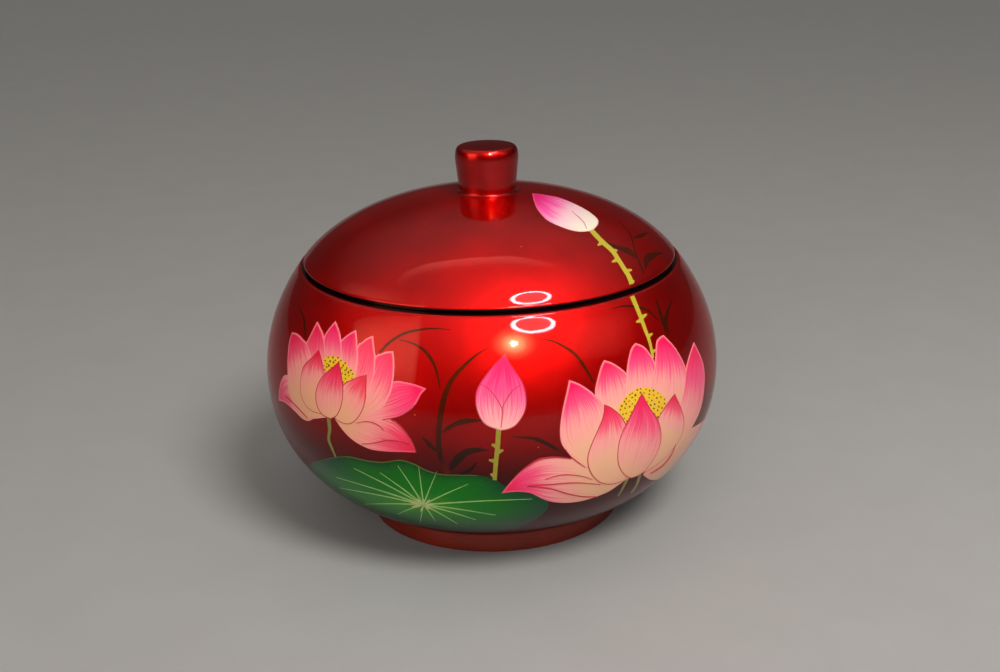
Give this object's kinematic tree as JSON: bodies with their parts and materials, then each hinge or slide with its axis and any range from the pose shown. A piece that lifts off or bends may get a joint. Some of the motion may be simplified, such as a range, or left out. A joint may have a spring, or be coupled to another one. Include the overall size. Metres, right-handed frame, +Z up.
{
  "type": "lidded bowl",
  "caption": "Round bulging bowl on a foot ring, with a domed lift-off lid, a black locating ring at the seam and a turned knob, in painted red lacquer.",
  "frame": {"origin": "centre of the foot ring's underside, on the surface that the bowl stands on", "axes": "+Z up along the turning axis; -Y is the side with the painted flowers that faces the viewer"},
  "size_m": [0.18, 0.18, 0.1485],
  "materials": {
    "red_lacquer": "turned wood under deep red high-gloss lacquer with painted flowers",
    "black_lacquer": "turned wood under black gloss lacquer",
    "bare_wood": "plain turned hardwood"
  },
  "bodies": {
    "bowl": {"foot_ring": "red_lacquer", "bowl_shell": "red_lacquer"},
    "lid": {"lid_shell": "red_lacquer", "lid_ring": "black_lacquer", "knob": "red_lacquer", "knob_dowel": "bare_wood"}
  },
  "joints": [
    {"name": "lid_lift", "type": "slide", "parent": "bowl", "child": "lid", "axis": [0, 0, 1], "range_m": [0, 0.06]}
  ]
}
